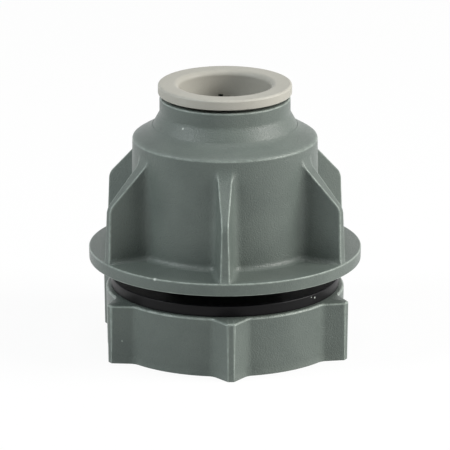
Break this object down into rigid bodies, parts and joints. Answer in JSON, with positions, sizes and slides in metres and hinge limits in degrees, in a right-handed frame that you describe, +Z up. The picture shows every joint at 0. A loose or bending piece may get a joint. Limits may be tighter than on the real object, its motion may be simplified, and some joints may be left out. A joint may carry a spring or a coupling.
{
  "type": "push-fit tank connector",
  "caption": "Ribbed push-fit tube connector that clamps through a tank wall between its flange and a rubber-faced back nut, with a releasing collet on top.",
  "frame": {"origin": "on the floor, under the middle of the back nut", "axes": "+Z up along the tube's axis, towards the collet; -Y to the front, where one rib points at the viewer"},
  "size_m": [0.045, 0.0452, 0.0443],
  "materials": {
    "body_plastic": "matte",
    "collet_plastic": "satin",
    "spacer_plastic": "satin",
    "seal_rubber": "satin",
    "washer_rubber": "matte",
    "tooth_steel": "satin"
  },
  "bodies": {
    "nut": {"back_nut": "body_plastic"},
    "washer": {"sealing_washer": "washer_rubber"},
    "fitting": {"body": "body_plastic", "collet_cap": "body_plastic", "spacer_washer": "spacer_plastic", "o_ring": "seal_rubber"},
    "collet": {"collet": "collet_plastic", "tooth_1": "tooth_steel", "tooth_2": "tooth_steel", "tooth_3": "tooth_steel", "tooth_4": "tooth_steel", "tooth_5": "tooth_steel", "tooth_6": "tooth_steel", "tooth_7": "tooth_steel", "tooth_8": "tooth_steel"}
  },
  "joints": [
    {"name": "thread_turn", "type": "hinge", "parent": "nut", "child": "washer", "pos_m": [0, 0, 0.00995], "axis": [0, 0, 1], "range_deg": [-545.5, 1369]},
    {"name": "thread_travel", "type": "slide", "parent": "washer", "child": "fitting", "axis": [0, 0, 1], "range_m": [-0.00275, 0.0069]},
    {"name": "collet_slide", "type": "slide", "parent": "fitting", "child": "collet", "axis": [0, 0, 1], "range_m": [-0.00055, 0.0017]}
  ],
  "couplings": [
    {"joint": "thread_travel", "follows": "thread_turn", "m_per_rad": 0.00028871}
  ]
}
